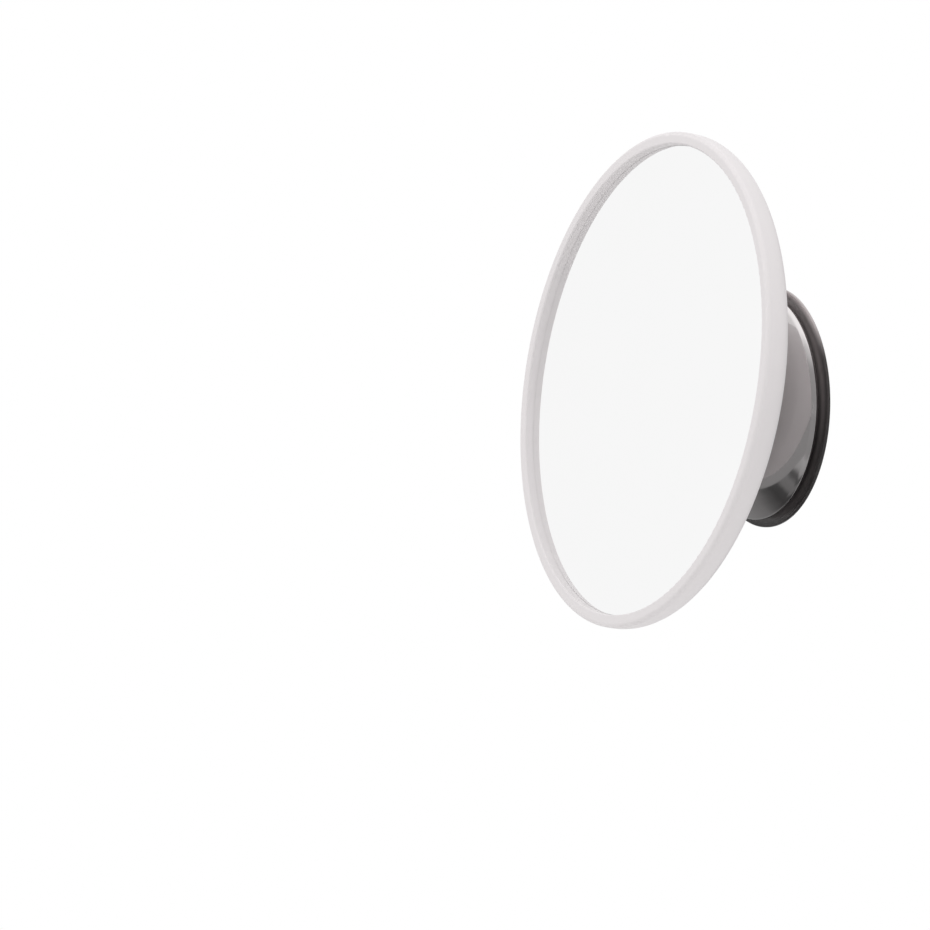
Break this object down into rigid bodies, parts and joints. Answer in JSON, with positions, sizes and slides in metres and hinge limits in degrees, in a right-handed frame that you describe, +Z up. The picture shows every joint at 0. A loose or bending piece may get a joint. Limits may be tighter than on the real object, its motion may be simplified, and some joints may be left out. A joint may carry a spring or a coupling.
{
  "type": "magnifying mirror",
  "caption": "Round concave mirror in a moulded dish, held by magnet on the steel dome of a wall suction foot, and free to swivel, tilt, turn and lift off.",
  "frame": {"origin": "centre of the suction foot's sealing face, on the wall", "axes": "+Y into the wall, the mirror looks along -Y, +Z up, +X to the right of someone who looks into the mirror"},
  "size_m": [0.112, 0.0397, 0.1115],
  "materials": {
    "cup": "smoky, glossy soft plastic",
    "insert": "moulded, matt",
    "steel": "zinc plated, satin",
    "dome": "polished",
    "magnet": "nickel plated",
    "shell": "soft satin, pale warm grey",
    "mirror": "silvered glass",
    "tape": "foam"
  },
  "bodies": {
    "suction_foot": {"suction_cup": "cup", "dome_insert": "insert", "stud_washer": "steel", "dome_shell": "dome"},
    "keeper": {"magnet_keeper": "steel"},
    "magnet": {"magnet": "magnet"},
    "plate": {"backing_plate": "steel"},
    "mirror_head": {"rear_shell": "shell", "socket_cover": "shell", "cover_screws": "steel", "mirror_glass": "mirror", "outer_tape_ring": "tape", "inner_tape_ring": "tape"}
  },
  "joints": [
    {"name": "head_pull_off", "type": "slide", "parent": "suction_foot", "child": "keeper", "axis": [0, -1, 0], "range_m": [0, 0.06]},
    {"name": "head_swivel", "type": "hinge", "parent": "keeper", "child": "magnet", "pos_m": [0, 0.0142, 0], "axis": [0, -1, 0], "continuous": true},
    {"name": "head_tilt", "type": "hinge", "parent": "magnet", "child": "plate", "pos_m": [0, 0.0142, 0], "axis": [1, 0, 0], "range_deg": [-13.5, 26.5]},
    {"name": "head_turn", "type": "hinge", "parent": "plate", "child": "mirror_head", "pos_m": [0, 0.0142, 0], "axis": [0, -0.9935, 0.1141], "continuous": true}
  ]
}
